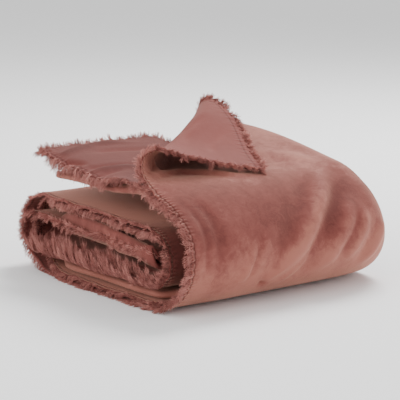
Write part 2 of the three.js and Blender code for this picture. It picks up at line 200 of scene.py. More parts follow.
def layer_depth(layer, v):
    if layer == 1:
        return 0.0 * v
    slack = BEND_SLACK * bendness(v) * smooth((OUTER_TURN_END - v) / SLACK_FADE)
    return -(layer - 1) * LAYER_PITCH - slack


def stack_point(x, depth, v):
    """Place at x on the layer that lies depth outside the path"""
    y, z, ny, nz = path_frame(v)
    far = np.clip((x - TAPER_FROM) / TAPER_REACH, 0.0, 1.0) ** 2
    above, below = np.maximum(nz, 0), np.maximum(-nz, 0)
    side, top = blend_table(TAPER_AT, TAPER_SIDE, v), blend_table(TAPER_AT, TAPER_TOP, v)
    taper = far * (side * (1 - below) + (top - side) * above)
    bulge = hill(v, LOW_BULGE) * smooth((x - HEM_EDGE) / BULGE_FROM_HEM)
    bulge = bulge * smooth((NOSE_START + NOSE_DEPTH - x) / BULGE_TO_NOSE)
    draw = hill(v, HEM_DRAW) * np.exp((HEM_EDGE - x) / DRAW_DECAY)
    hump = hill(v, HEM_HUMP) * np.exp((HEM_EDGE - x) / HUMP_DECAY)
    wave = WAVE_HEIGHT * np.sin(x / WAVE_ACROSS + v / WAVE_ALONG) * (1 - below) * (1 - far)
    n = depth * (1 - NOSE_SQUEEZE * far) - taper + bulge - draw + hump + wave
    return np.stack([x + 0 * y, y + ny * n, z + nz * n], -1)


def fold_place(x, v):
    """Distance along the fold line and past it"""
    from_end = FOLD_FROM_END - v
    along = x * math.cos(FOLD_ANGLE) + from_end * math.sin(FOLD_ANGLE)
    past = -x * math.sin(FOLD_ANGLE) + from_end * math.cos(FOLD_ANGLE)
    return along, past - blend_table(FOLD_ALONG, FOLD_SHIFT, along)


def corner_shift(x, v):
    """Shift of the outer layer where it rises to the fold, bends over and lies back"""
    along, past = fold_place(x, v)
    rise, run = blend_table(FOLD_ALONG, FOLD_RISE, along), blend_table(FOLD_ALONG, FOLD_RUN, along)
    power, radius = blend_table(FOLD_ALONG, FOLD_POWER, along), blend_table(FOLD_ALONG, FOLD_BEND, along)
    over = np.radians(blend_table(FOLD_ALONG, FOLD_OVER, along))
    slope = rise * power / run
    lean = np.arctan(slope)
    arc = past + radius * (math.pi / 2 - lean)
    climb = np.clip((arc + run) / run, 0.0, 1.0)
    loss = run * slope * slope / (2 * (2 * power - 1))
    turn = np.clip(arc / radius, 0.0, math.pi - lean + over)
    rest = np.maximum(arc - radius * turn, 0.0)
    angle = lean + turn
    bent = arc > 0
    up = rise * climb ** power
    up = up + np.where(bent, radius * (np.cos(lean) - np.cos(angle)) - rest * np.sin(over), 0.0)
    across = -loss * climb ** (2 * power - 1)
    back = radius * (np.sin(angle) - np.sin(lean)) - rest * np.cos(over) - arc
    across = across + np.where(bent, back, 0.0)
    live = (climb > 0) & (v <= TENT_REACH)
    across, up = np.where(live, across, 0.0), np.where(live, up, 0.0)
    return -across * math.sin(FOLD_ANGLE), across * math.cos(FOLD_ANGLE), up


def add_corner_shift(point, x, v, share=1.0):
    dx, dy, up = corner_shift(x, v)
    base = stack_point(x, 0.0 * x, v)
    near = smooth((TENT_REACH - v) / TENT_FADE)
    settle = (top_height(base[..., 1] + dy) - top_height(base[..., 1])) * near
    return point + np.stack([dx, dy, up + settle], -1) * np.expand_dims(share + 0 * dx, -1)


def edge_ripple(layer, v):
    waves = zip(EDGE_RIPPLES, RIPPLE_SHIFTS)
    return sum(height * np.sin(v / length + shift * layer) for (height, length), shift in waves)


def front_edge(layer, v):
    recess = hill(v, FAR_BEND_RECESS)
    if layer == 1:
        return HEM_EDGE + OUTER_RIPPLE_SHARE * edge_ripple(1, v) + recess
    straight = HEM_EDGE + SECOND_EDGE_INSET if layer == 2 else INNER_LOOP_EDGE
    return straight + edge_ripple(layer, v) + recess + BEND_RECESS * bendness(v)


def wing_point(x, depth, v):
    """Second layer, lifted and pushed out where the turned corner lays it bare"""
    point = stack_point(x, depth, v)
    past = fold_place(x, v)[1]
    bare = smooth((past + WING_OVERLAP) / WING_BLEND)
    near_end = smooth((WING_LENGTH - v) / WING_LENGTH)
    point[..., 2] += bare * (WING_FRONT_RISE + (WING_RISE - WING_FRONT_RISE) * near_end)
    point[..., 1] += bare * WING_REACH * near_end
    return point


# Creases: points across and along the cloth, height towards the velvet side and half width
CREASE_FADE = 3.0
OUTER_CREASES = [
    dict(points=[(277, 236), (246, 277), (222, 307), (192, 337), (170, 362), (144, 385), (125, 415)],
         height=6.0, width=10.5),
    dict(points=[(304, 250), (272, 284), (247, 314), (216, 345), (192, 372), (168, 396)],
         height=-5.0, width=12.0),
    dict(points=[(252, 226), (221, 268), (197, 298), (168, 327), (146, 352), (124, 374)],
         height=-4.0, width=17.0),
    dict(points=[(273, 298), (266, 321), (254, 341), (237, 361), (226, 380), (211, 394), (193, 405)],
         height=6.0, width=9.5),
    dict(points=[(284, 326), (270, 350), (252, 372), (230, 397)], height=-3.5, width=8.0),
    dict(points=[(296, 326), (283, 350), (269, 372), (254, 398)], height=5.0, width=8.5),
    dict(points=[(315, 340), (303, 361), (290, 384), (276, 408)], height=-3.0, width=9.0),
    dict(points=[(334, 345), (322, 363), (309, 386), (292, 412)], height=5.0, width=9.5),
    dict(points=[(96, 346), (84, 376), (78, 404)], height=4.0, width=5.0),
    dict(points=[(106, 340), (95, 374), (90, 402)], height=-2.5, width=6.0),
    dict(points=[(172, 350), (142, 383), (112, 414)], height=2.6, width=4.5),
    dict(points=[(190, 368), (164, 395), (142, 418)], height=2.6, width=5.0),
    dict(points=[(132, 330), (112, 354), (97, 380), (92, 402)], height=3.0, width=8.0),
    dict(points=[(14, 268), (19, 310), (18, 360), (14, 405)], height=-2.5, width=5.5),
    dict(points=[(27, 262), (36, 305), (37, 350), (32, 402)], height=-3.0, width=9.0),
    dict(points=[(262, 265), (118, 420)], height=3.5, width=15.0),
    dict(points=[(300, 300), (215, 420)], height=3.0, width=14.0),
    dict(points=[(210, 150), (252, 190), (286, 240)], height=2.5, width=16.0),
    # lip of the hollow under the turned corner, and the fold inside its curl
    dict(points=[(-4, 222), (20, 200), (50, 184), (80, 178), (104, 206), (128, 233), (175, 250)],
         height=6.5, width=7.0),
    dict(points=[(30, 146), (44, 158), (46, 172), (28, 192)], height=7.0, width=5.5),
    # drag lines on the turned corner
    dict(points=[(60, 92), (110, 78), (150, 40)], height=-2.5, width=8.0),
    dict(points=[(120, 96), (170, 60), (205, 22)], height=2.2, width=7.0),
    dict(points=[(30, 60), (70, 52), (120, 18)], height=-2.0, width=7.0),
    # soft folds round the far bend and under the roll
    dict(points=[(60, 690), (66, 780), (52, 900)], height=2.5, width=12.0),
    dict(points=[(210, 700), (196, 800), (206, 930)], height=-3.0, width=13.0),
    dict(points=[(300, 720), (280, 830), (292, 960)], height=3.5, width=12.0),
]
WING_CREASES = [
    dict(points=[(0, 34), (12, 34), (45, 26), (81, 17), (117, 19), (160, 30)], height=-4.5, width=5.0),
    dict(points=[(-6, 84), (17, 90), (45, 92), (90, 98)], height=4.0, width=4.0),
    dict(points=[(-6, 97), (20, 101), (50, 103), (90, 109)], height=-3.5, width=4.5),
    dict(points=[(-8, 118), (12, 113), (40, 112)], height=3.5, width=4.0),
    dict(points=[(-8, 46), (5, 62), (14, 80)], height=4.5, width=5.0),
    dict(points=[(40, 48), (75, 42), (120, 48), (170, 62)], height=3.5, width=5.5),
]
DIMPLES = [dict(at=(119, 409), depth=5.0, width=5.5)]

# Hem: its stitch line and the gathers that the thread pulls
FRONT_STITCH = 4.5
END_STITCH = 10.0
GATHER_HEIGHT = 0.8
GATHER_PITCH = 13.0
GATHER_REACH = 9.0
GATHER_DRIFT = 3.0
GATHER_DRIFT_PITCH = 19.0
GATHER_SHARES = (0.6, 0.4)
SECOND_GATHER = 1.7
EDGE_WAVE = 1.5
EDGE_WAVE_RATE = 1.3
EDGE_WAVE_REACH = 6.0

# Open places between the turns, seen from the front, and the loose loop at the core
BEND_GAPS = [
    dict(depth=30.0, start=250.0, full=300.0, fade=440.0, end=490.0),
    dict(depth=24.0, start=690.0, full=770.0, fade=900.0, end=960.0),
    dict(depth=16.0, start=1150.0, full=1200.0, fade=1290.0, end=1330.0),
    dict(depth=16.0, start=1590.0, full=1640.0, fade=1700.0, end=1740.0),
]
CORE_RECESS = dict(depth=20.0, start=1300.0, full=1370.0, fade=1560.0, end=1610.0)
CORE_PUFF = dict(depth=15.0, start=1700.0, full=1760.0, fade=2100.0, end=2200.0)
CORE_RISE = 2.3
CORE_LIFT = dict(depth=6.0, start=1690.0, full=1730.0, fade=1840.0, end=1900.0)
CORE_CRUMPLE = dict(depth=3.0, start=1820.0, full=1880.0, fade=2100.0, end=2200.0)
CORE_PRESS = dict(depth=0.6, start=1300.0, full=1360.0, fade=1570.0, end=1620.0)
PRESS_REACH = 80.0
NOSE_WAVE = 1.6
NOSE_WAVE_LENGTHS = (31.0, 83.0)
CRUMPLE_LENGTHS = (7.0, 9.0)
CRUMPLE_TURNS = (3, -2)
LOWER_GAP_SHARE = 0.3
LOWER_RECESS_SHARE = 0.4
LOOSE_LAYER = dict(depth=9.0, start=690.0, full=770.0, fade=880.0, end=950.0)
LOOSE_DECAY = 45.0
WING_DROOP = dict(depth=8.0, start=0.0, full=45.0, fade=110.0, end=165.0)
DROOP_DECAY = 15.0

# Grid of the cloth: distances from a hem edge, then even steps
HEM_STEPS = [0.0, 1.5, 3.0, 4.5, 6.0, 7.5, 9.0, 10.5, 12.5, 15.0, 18.0, 21.5, 25.0]
FACE_STEP = 4.1
ROW_STEP = 3.2
NOSE_POINTS = 12
FRONT_LOOP_POINTS = 8
LOOP_POINTS = 5
HIDDEN_STEP = 24.0
LOWER_STEP = 13.0
NOSE_FLAT_STEP = 4.2
TURN_FLAT_STEP = 3.0
HEM_SEEDS = dict(front=1.0, end=2.0, second_front=3.0, second_end=4.0)
FINE_ROWS_END = 492.0
OUTER_ROWS_END = 1000.0
OUTER_ROWS = dict(step=22.0, turn=math.radians(9))
INNER_ROWS = dict(step=30.0, turn=math.radians(12))


def crease_height(x, v, creases, dimples=()):
    """Height of drawn creases and dimples, which fade at their ends"""
    height = np.zeros(np.broadcast(x, v).shape)
    for crease in creases:
        points = np.array(crease["points"], float)
        nearest = np.full(height.shape, np.inf)
        place = np.zeros(height.shape)
        for k, (a, b) in enumerate(zip(points[:-1], points[1:])):
            span = b - a
            t = np.clip(((x - a[0]) * span[0] + (v - a[1]) * span[1]) / (span @ span), 0.0, 1.0)
            off = np.hypot(x - a[0] - t * span[0], v - a[1] - t * span[1])
            place = np.where(off < nearest, (k + t) / (len(points) - 1), place)
            nearest = np.minimum(nearest, off)
        fade = smooth(CREASE_FADE * place) * smooth(CREASE_FADE * (1 - place))
        height += crease["height"] * fade * np.exp(-((nearest / crease["width"]) ** 2))
    for dimple in dimples:
        off = np.hypot(x - dimple["at"][0], v - dimple["at"][1])
        height -= dimple["depth"] * np.exp(-((off / dimple["width"]) ** 2))
    return height


def hem_height(from_edge, along, inset, seed):
    """Gathers on both sides of the stitch line, and the waver of the cut edge"""
    off = from_edge - inset
    drift = GATHER_DRIFT * np.sin(along / GATHER_DRIFT_PITCH + seed)
    turned = 2 * math.pi * (along + drift) / GATHER_PITCH
    gathers = GATHER_SHARES[0] * np.sin(turned) + GATHER_SHARES[1] * np.sin(SECOND_GATHER * turned + seed)
    near_edge = np.exp(-((from_edge / EDGE_WAVE_REACH) ** 2))
    edge = EDGE_WAVE * np.sin(EDGE_WAVE_RATE * turned + 2 * seed) * near_edge
    return GATHER_HEIGHT * gathers * np.exp(-((off / GATHER_REACH) ** 2)) + edge


def row_stations():
    """Distances along the roll at which the cloth has a row of points"""
    rows = list(HEM_STEPS) + list(np.arange(HEM_STEPS[-1] + ROW_STEP, FINE_ROWS_END, ROW_STEP))
    for end, density in ((OUTER_ROWS_END, OUTER_ROWS), (ROLL_LENGTH, INNER_ROWS)):
        v = np.arange(rows[-1], end, 1.0)
        _, _, ny, nz = path_frame(v)
        turn = np.abs(np.unwrap(np.arctan2(nz, ny)))
        turn = np.concatenate([[0.0], np.cumsum(np.abs(np.diff(turn)))])
        sums = (v - v[0]) / density["step"] + turn / density["turn"]
        count = math.ceil(sums[-1])
        rows += list(np.interp(np.arange(1, count + 1) * sums[-1] / count, sums, v))
    rows[-1] = ROLL_LENGTH
    return np.array(rows)


def even(start, end, step):
    return np.linspace(start, end, max(2, round(abs(end - start) / step) + 1))


def cloth_columns(rows):
    """Middle of the cloth in columns of points, with their flat places and the heights of the creases"""
    columns, flat, creased = [], [], []
    edge = front_edge(1, rows)
    hem = np.array(HEM_STEPS)
    width = NOSE_START - HEM_EDGE
    for inset in np.concatenate([hem, even(hem[-1], width, FACE_STEP)[1:]]):
        x = edge + (NOSE_START - edge) * inset / width
        lift = crease_height(x, rows, OUTER_CREASES, DIMPLES)
        creased.append(lift.copy())
        lift += hem_height(inset, rows, FRONT_STITCH, HEM_SEEDS["front"])
        lift += hem_height(rows, inset, END_STITCH, HEM_SEEDS["end"])
        columns.append(add_corner_shift(stack_point(x, lift, rows), x, rows))
        flat.append(inset)
    waves = np.sin(rows / NOSE_WAVE_LENGTHS[0]) * np.sin(rows / NOSE_WAVE_LENGTHS[1])
    spread = NOSE_DEPTH + hill(rows, NOSE_SPREAD) + NOSE_WAVE * waves
    fourth = layer_depth(4, rows)
    for angle in np.linspace(0, math.pi, NOSE_POINTS + 2)[1:-1]:
        x = NOSE_START + spread * math.sin(angle)
        level = fourth * (1 - math.cos(angle)) / 2
        lift = crease_height(x, rows, OUTER_CREASES) * (1 + math.cos(angle)) / 2
        creased.append(lift)
        point = stack_point(x, level + lift, rows)
        share = (1 + math.cos(angle)) / 2
        columns.append(add_corner_shift(point, NOSE_START + 0 * rows, rows, share))
        flat.append(flat[-1] + NOSE_FLAT_STEP)
    gap = sum(hill(rows, shape) for shape in BEND_GAPS)
    loop = front_edge(3, rows) + FRONT_LOOP_DEPTH + gap + hill(rows, CORE_RECESS)
    puff, raised = hill(rows, CORE_PUFF), hill(rows, CORE_LIFT)
    crumple = hill(rows, CORE_CRUMPLE)
    third, second = layer_depth(3, rows), layer_depth(2, rows)

    def pressed(x, depth):
        """Depth of the inner layers, pressed against the second one near their front loop"""
        near = smooth((loop + PRESS_REACH - x) / PRESS_REACH)
        return second + (depth - second) * (1 - hill(rows, CORE_PRESS) * near)

    def across(start, end, depth, steps):
        for t in steps:
            x = start + (end - start) * t
            columns.append(stack_point(x, pressed(x, depth), rows))
            creased.append(0 * rows)
            flat.append(flat[-1] + abs(steps[1] - steps[0]) * (NOSE_START - INNER_LOOP_EDGE))

    def turn(x, reach, start, end, count, puffed=0.0):
        for angle in np.linspace(0, math.pi, count + 2)[1:-1]:
            level = start + (end - start) * (1 - math.cos(angle)) / 2
            out = math.sin(angle) * (reach - puffed)
            level = level + puffed * CORE_RISE * math.sin(angle) * (1 - math.cos(angle)) / 2
            if reach < 0:
                level = level + raised
                level = level + crumple * np.sin(rows / CRUMPLE_LENGTHS[0] + CRUMPLE_TURNS[0] * angle)
                out = out + crumple * np.sin(rows / CRUMPLE_LENGTHS[1] + CRUMPLE_TURNS[1] * angle)
            columns.append(stack_point(x + out, pressed(x + out, level), rows))
            creased.append(0 * rows)
            flat.append(flat[-1] + TURN_FLAT_STEP)

    inner = NOSE_START - INNER_NOSE_INSET
    hidden = even(0, 1, HIDDEN_STEP / width)
    across(NOSE_START, loop, fourth, hidden)
    turn(loop, -FRONT_LOOP_DEPTH, fourth, third, FRONT_LOOP_POINTS, puff)
    across(loop, inner, third, hidden)
    turn(inner, INNER_NOSE_DEPTH, third, second, LOOP_POINTS)
    lower = front_edge(2, rows) + LOWER_GAP_SHARE * gap + LOWER_RECESS_SHARE * hill(rows, CORE_RECESS)
    loose, droop = hill(rows, LOOSE_LAYER), hill(rows, WING_DROOP)
    insets = np.concatenate([even(width, hem[-1], LOWER_STEP), hem[-2::-1]])
    for inset in insets:
        x = lower + (inner - lower) * inset / width
        lift = crease_height(x, rows, WING_CREASES)
        creased.append(-lift)
        lift += hem_height(inset, rows, FRONT_STITCH, HEM_SEEDS["second_front"])
        lift += hem_height(rows, inset, END_STITCH, HEM_SEEDS["second_end"])
        level = second - lift - loose * math.exp(-inset / LOOSE_DECAY)
        point = wing_point(x, level, rows)
        point[..., 2] -= droop * math.exp(-inset / DROOP_DECAY)
        columns.append(point)
        flat.append(flat[-1] + (TURN_FLAT_STEP if inset == width else abs(previous - inset)))
        previous = inset
    return np.array(columns), np.array(flat), np.array(creased)


def grid_normals(grid):
    across = np.gradient(grid, axis=0)
    along = np.gradient(grid, axis=1)
    normal = np.cross(along, across)
    return normal / np.linalg.norm(normal, axis=-1, keepdims=True)


def to_part(points):
    return (np.asarray(points) - FOOTPRINT_CENTRE) * MM


def mesh_piece(name, vertices, faces, materials, material_of=None, uv=None):
    """Object at the origin from vertices in metres and an array of faces of one size"""
    mesh = bpy.data.meshes.new(name)
    faces = np.asarray(faces, np.int32)
    count, sides = faces.shape
    mesh.vertices.add(len(vertices))
    mesh.vertices.foreach_set("co", np.asarray(vertices, np.float32).ravel())
    mesh.loops.add(count * sides)
    mesh.loops.foreach_set("vertex_index", faces.ravel())
    mesh.polygons.add(count)
    mesh.polygons.foreach_set("loop_start", np.arange(0, count * sides, sides, dtype=np.int32))
    mesh.polygons.foreach_set("use_smooth", np.ones(count, bool))
    for material in materials:
        mesh.materials.append(material)
    if material_of is not None:
        mesh.polygons.foreach_set("material_index", np.asarray(material_of, np.int32))
    if uv is not None:
        layer = mesh.uv_layers.new(name="flat")
        layer.data.foreach_set("uv", np.asarray(uv, np.float32)[faces.ravel()].ravel())
    mesh.update(calc_edges=True)
    mesh.validate()
    piece = bpy.data.objects.new(name, mesh)
    bpy.context.scene.collection.objects.link(piece)
    return piece


def add_values(piece, label, values):
    """Attribute with one number for each vertex"""
    attribute = piece.data.attributes.new(label, "FLOAT", "POINT")
    attribute.data.foreach_set("value", np.ascontiguousarray(values, np.float32).ravel())


def sheet_piece(name, grid, normals, flat, rows, materials):
    """Closed sheet: the grid's two faces, half a thickness either side, and its rim"""
    columns, count = grid.shape[:2]
    half = CLOTH_THICK / 2
    sides = [grid + half * normals, grid - half * normals]
    vertices = np.concatenate([side.reshape(-1, 3) for side in sides])
    vertices[:, 2] = np.maximum(vertices[:, 2], FOOTPRINT_CENTRE[2])
    index = np.arange(columns * count).reshape(columns, count)
    a, b, c, d = index[:-1, :-1], index[1:, :-1], index[1:, 1:], index[:-1, 1:]
    upper = np.stack([a, d, c, b], -1).reshape(-1, 4)
    below = columns * count
    lower = upper[:, ::-1] + below

    def rim(line):
        return np.stack([line[:-1], line[1:], line[1:] + below, line[:-1] + below], -1)

    rims = np.concatenate([rim(index[0, ::-1]), rim(index[-1]), rim(index[:, 0]), rim(index[::-1, -1])])
    faces = np.concatenate([upper, lower, rims])
    corner = vertices[faces[:, 0]]
    first, second, third = (vertices[faces[:, k]] - corner for k in (1, 2, 3))
    volume = (corner * (np.cross(first, second) + np.cross(second, third))).sum()
    if volume < 0:
        faces = faces[:, ::-1]
    uv = np.stack(np.broadcast_arrays(flat[:, None] * MM, rows[None, :] * MM), -1).reshape(-1, 2)
    slots = np.concatenate([np.zeros(len(upper)), np.ones(len(lower)), np.ones(len(rims))])
    return mesh_piece(name, to_part(vertices), faces, materials, slots, np.concatenate([uv, uv]))


# Fringe: the shape of one thread
THREAD_POINTS = 5
THREAD_SIDES = 3
THREAD_RADIUS = 0.42
THREAD_TIP = 0.14
THREAD_GIRTH = (0.75, 1.2)
THREAD_REACH = (0.72, 1.08)
THREAD_STRAY = 0.2
WAIST_AT = 0.5
WAIST_STRAY = 0.5
CURL_SIZE = (0.2, 0.9)
CURL_TURN = (2, 6)
SPOKE_TILT = 0.2
FLOOR_GAP = 0.4

# Its root: how far inside the edge it starts, and how far from the middle of the cloth
ROOT_INSIDE = 0.5
ROOT_SPREAD = 1.3
DEEP_ROOT = 1.5
DEEP_ROOT_RISE = 1.0
ROOT_COVER = 1.5

# Tufts: how far neighbours are alike along the rim, by how much, and how each differs by itself
TUFT_PITCH = 2.3
TUFT_SHIFT = 0.35
TUFT_GATHER = 0.2
LEAN_CHANGE = dict(pitch=8, alike=0.22, own=0.26)
REACH_CHANGE = dict(pitch=7, alike=0.12, own=0.1)
TONE_CHANGE = dict(pitch=14, alike=0.12, own=0.15)
LIFT_PITCH = 9
OWN_LIFT_SHARE = 0.7
MEAN_REACH = 0.95
MEAN_TONE = 0.5
THREAD_TONE = 0.16


def rim_line(points, inside, normals, rows):
    out = points - inside
    out = out / np.linalg.norm(out, axis=-1, keepdims=True)
    return dict(points=points, out=out, normal=normals, rows=rows)


def unit(vectors):
    return vectors / np.linalg.norm(vectors, axis=-1, keepdims=True)


def threads(name, rim, material, node, per_mm, seed, length=None, droop=0.15, lift=0.0, spread=0.45,
            depth=1.5, lifts=None, sags=None, lengths=None):
    """Frayed threads along a rim of the cloth, drawn together in small tufts"""
    rng = np.random.default_rng(seed)
    points = rim["points"]
    at = np.concatenate([[0.0], np.cumsum(np.linalg.norm(np.diff(points, axis=0), axis=1))])
    count = int(at[-1] * per_mm)
    where = np.sort(rng.uniform(0, at[-1], count))
    centres = np.arange(0, at[-1] + TUFT_PITCH, TUFT_PITCH)
    centres = centres + rng.uniform(-TUFT_SHIFT, TUFT_SHIFT, len(centres)) * TUFT_PITCH
    tuft = np.clip(np.searchsorted((centres[1:] + centres[:-1]) / 2, where), 0, len(centres) - 1)

    def along_rim(values, places):
        return np.stack([np.interp(places, at, values[:, k]) for k in range(3)], -1)

    def at_tufts(table):
        """Values of a table by the distance along the roll, at each tuft"""
        places, values = zip(*table)
        return np.interp(centres, at, blend_table(places, values, rim["rows"]))

    def uneven(pitch, alike, own):
        """Random number of each tuft, partly like that of its neighbours"""
        places = np.arange(0, at[-1] + 2 * pitch, pitch)
        shared = np.interp(centres, places, rng.normal(0, alike, len(places)))
        return shared + rng.normal(0, own, len(centres))

    lean = uneven(**LEAN_CHANGE)[tuft]
    if lifts:
        lift = at_tufts(lifts)
    lift = (lift + uneven(LIFT_PITCH, spread, OWN_LIFT_SHARE * spread))[tuft]
    if lengths:
        length = at_tufts(lengths)
    reach = (length * (MEAN_REACH + uneven(**REACH_CHANGE)))[tuft]
    tone = (MEAN_TONE + uneven(**TONE_CHANGE))[tuft]
    out, normal = unit(along_rim(rim["out"], where)), unit(along_rim(rim["normal"], where))
    tangent = unit(np.cross(out, normal))
    inside = rng.uniform(ROOT_INSIDE, depth, (count, 1))
    side = rng.uniform(-ROOT_SPREAD, ROOT_SPREAD, (count, 1))
    side = side + np.sign(lift)[:, None] * (inside > DEEP_ROOT) * DEEP_ROOT_RISE
    root = along_rim(points, where) - inside * out + normal * side
    gather = along_rim(points, centres[tuft])
    reach = reach * rng.uniform(*THREAD_REACH, count)
    heading = unit(out + tangent * (lean + rng.normal(0, THREAD_STRAY, count))[:, None]
                   + normal * (lift + rng.normal(0, THREAD_STRAY, count))[:, None])
    tip = root + (gather - root) * TUFT_GATHER + heading * (reach + ROOT_COVER)[:, None]
    if sags:
        droop = at_tufts(sags)[tuft]
    tip[:, 2] -= droop * reach
    waist = root + out * (WAIST_AT * reach)[:, None] + rng.normal(0, WAIST_STRAY, (count, 3))
    t = np.linspace(0, 1, THREAD_POINTS)[:, None]
    line = (root[:, None] * (1 - t) ** 2 + 2 * waist[:, None] * t * (1 - t) + tip[:, None] * t ** 2)
    phase = rng.uniform(0, 2 * math.pi, (count, 1))
    curl = rng.uniform(*CURL_SIZE, (count, 1)) * t[:, 0]
    speed = rng.uniform(*CURL_TURN, (count, 1)) * t[:, 0]
    line = line + tangent[:, None] * (curl * (np.sin(phase + speed) - np.sin(phase)))[..., None]
    line = line + normal[:, None] * (curl * (np.cos(phase + speed) - np.cos(phase)))[..., None]
    line[..., 2] = np.maximum(line[..., 2], FOOTPRINT_CENTRE[2] + FLOOR_GAP)
    t = t[:, 0]
    radius = THREAD_RADIUS * rng.uniform(*THREAD_GIRTH, (count, 1)) * (1 - t) + THREAD_TIP * t
    first = unit(np.cross(heading, normal + SPOKE_TILT * tangent))
    second = np.cross(heading, first)
    rings = []
    for angle in np.arange(THREAD_SIDES) * 2 * math.pi / THREAD_SIDES:
        spoke = first * math.cos(angle) + second * math.sin(angle)
        rings.append(line + spoke[:, None] * radius[..., None])
    vertices = np.stack(rings, 2)
    start = np.arange(count)[:, None] * THREAD_POINTS * THREAD_SIDES
    base = start[..., None] + np.arange(THREAD_POINTS - 1)[:, None] * THREAD_SIDES
    k = np.arange(THREAD_SIDES)
    after = (k + 1) % THREAD_SIDES
    around = np.stack([base + k, base + after, base + THREAD_SIDES + after, base + THREAD_SIDES + k], -1)
    quads = around.reshape(-1, 4)
    triangles = np.concatenate([quads[:, [0, 1, 2]], quads[:, [0, 2, 3]]])
    caps = np.concatenate([start + k[::-1], start + THREAD_SIDES * (THREAD_POINTS - 1) + k])
    faces = np.concatenate([triangles, caps])
    piece = mesh_piece(name, to_part(vertices.reshape(-1, 3)), faces, [material])
    tone = np.clip(tone + rng.normal(0, THREAD_TONE, count), 0, 1)
    shade = np.broadcast_to(tone[:, None, None], (count, THREAD_POINTS, THREAD_SIDES))
    tips = np.broadcast_to(t[None, :, None], (count, THREAD_POINTS, THREAD_SIDES))
    add_values(piece, "tone", shade)
    add_values(piece, "tip", tips)
    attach(piece, "root")
    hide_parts(node)
    return piece


# Colours by tone: the darkest, the lightest and the middle one
VELVET_COLOURS = [(0.0, (0.115, 0.031, 0.027)), (1.0, (0.33, 0.120, 0.091)), (0.5, (0.19, 0.055, 0.046))]
LINING_COLOURS = [(0.0, (0.085, 0.021, 0.018)), (1.0, (0.24, 0.068, 0.057)), (0.5, (0.172, 0.045, 0.038))]
FRINGE_COLOURS = [(0.0, (0.13, 0.038, 0.033)), (1.0, (0.60, 0.26, 0.22)), (0.5, (0.34, 0.120, 0.102))]
FLOOR_COLOUR = (0.93, 0.93, 0.93, 1.0)
VELVET_SHEEN = (1.0, 0.58, 0.44, 1.0)
PLAIN_SHEEN = (1.0, 0.6, 0.5, 1.0)

# Noise of the nap on the flat cloth, and its share in the relief
NOISE_MEAN = 0.5
CLOUD_STRETCH = (1.0, 0.45, 1.0)
CLOUD_NOISE = dict(scale=16, detail=2, roughness=0.5)
PATCH_NOISE = dict(scale=75, detail=4, roughness=0.55, distortion=0.8)
STREAK_NOISE = dict(scale=260, detail=4, roughness=0.6, distortion=1.5)
PATCH_RELIEF = 0.6
STREAK_RELIEF = 0.35
WEAVE = {"Scale": 420.0, "Distortion": 0.6}

# Stitching on the flat cloth: distances from the stitch line, and the fine gathers in radians a metre
STITCH_REACH = 2.2
STITCH_FULL = 0.4
FINE_GATHER_REACH = 9.0
FINE_GATHER_HEIGHT = 0.5
FINE_GATHER_RATE = 1080.0
FINE_GATHER_DRIFT = 9.0
DRIFT_NOISE = dict(scale=60, detail=2)

# The two sides of the cloth. A band is painted light (a positive change) or painted shade (a negative
# one): it changes the tone between two places on the flat cloth, in metres across it (axis 0) or along
# the roll (axis 1), and keeps the change past the second place. A bump is a distance in metres and a
# strength.
VELVET_SIDE = dict(
    amounts={"Clouds": 1.2, "Patches": 0.75, "Streaks": 0.45},
    # crease: tone for each millimetre of crease height, lighter on ridges and darker in valleys; painted
    # highlight and painted shade along the creases
    crease=0.055, lighten=0.14, stitch=0.8, colours=VELVET_COLOURS,
    painted_light_bands=[
        # painted shade: darker down the near side of the outer turn
        dict(axis=1, start=0.20, end=0.29, change=-0.38),
        # painted light: lighter again from the lower near side onwards, as if lit from the floor below
        dict(axis=1, start=0.31, end=0.41, change=0.66),
        # painted light: lighter on the top of the second turn, which lies in the lifted layer's shade
        dict(axis=1, start=0.92, end=0.97, change=0.30),
        # painted shade: much darker on the inner turns, deep inside the roll
        dict(axis=1, start=1.10, end=1.24, change=-1.15),
        # painted light: lighter from the far fold onwards, across to the inner layers
        dict(axis=0, start=0.24, end=0.34, change=0.14),
    ])
LINING_SIDE = dict(
    amounts={"Clouds": 0.35, "Patches": 0.15, "Streaks": 0.12},
    # crease: lighter where the lining side bulges and darker in its valleys; painted highlight and
    # painted shade along the creases
    crease=-0.05, lighten=0.0, stitch=0.6, colours=LINING_COLOURS,
    # painted shade: darker on the second layer, whose lifted corner shows its lining
    painted_light_bands=[dict(axis=0, start=1.0, end=1.1, change=-0.3)])
VELVET_ROUGHNESS = dict(low=0.3, high=0.7, to_low=0.86, to_high=0.7)
VELVET_BUMPS = dict(nap=(0.0022, 0.35), hem=(0.0018, 0.7))
LINING_BUMPS = dict(nap=(0.002, 0.4), hem=(0.0016, 0.3), weave=(0.0003, 0.25))
# Threads lighten towards their tips: painted light on the tips, painted shade among the roots
TIP_PAINTED_LIGHT = 0.22
TUFT_TONE = 0.85

# Sockets of the mix node when it mixes colours
MIX_FACTOR, MIX_FIRST, MIX_SECOND, MIX_RESULT = 0, 6, 7, 2


def fill_sockets(tree, node, values):
    """Links or constants on the inputs of a node, by name or number"""
    for key, value in values.items():
        socket = node.inputs[key]
        if isinstance(value, bpy.types.NodeSocket):
            tree.links.new(value, socket)
        else:
            socket.default_value = value


def add_node(tree, kind, inputs=None, **settings):
    node = tree.nodes.new(kind)
    for key, value in settings.items():
        setattr(node, key, value)
    fill_sockets(tree, node, inputs or {})
    return node


def math_node(tree, operation, *values):
    inputs = dict(enumerate(values))
    return add_node(tree, "ShaderNodeMath", inputs, operation=operation).outputs[0]


